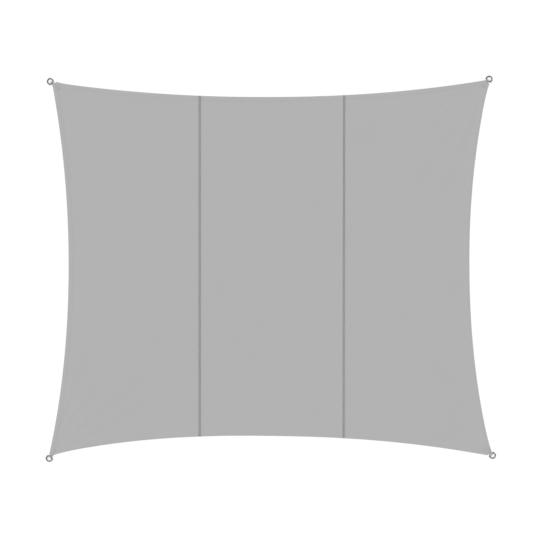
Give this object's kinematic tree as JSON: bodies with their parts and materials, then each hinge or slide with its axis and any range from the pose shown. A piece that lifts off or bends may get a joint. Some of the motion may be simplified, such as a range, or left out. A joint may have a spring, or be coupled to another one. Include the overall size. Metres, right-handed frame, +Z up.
{
  "type": "shade sail",
  "caption": "Flat rectangular cloth shade sail with hollow-cut hemmed edges, joined panels and a D-ring in a webbing strap at each corner.",
  "frame": {"origin": "on the floor under the middle of the outline, with the sail laid out flat and face up", "axes": "+X along the long side, to the right with the sail face up; +Y along the short side, towards the straighter hollow edge; +Z up, out of the face"},
  "size_m": [3.5756, 3.0678, 0.0118],
  "materials": {
    "cloth": "light grey plain-woven polyester, matt, with hem and seam stitching",
    "webbing": "light grey ribbed polyester webbing, matt, sewn through",
    "steel": "bent and welded stainless wire, satin"
  },
  "bodies": {
    "root": {"panel_left": "cloth", "panel_centre": "cloth", "panel_right": "cloth", "tab_bottom_left": "webbing", "tab_bottom_right": "webbing", "tab_top_left": "webbing", "tab_top_right": "webbing", "ring_bottom_left": "steel", "ring_bottom_right": "steel", "ring_top_left": "steel", "ring_top_right": "steel"}
  },
  "joints": []
}
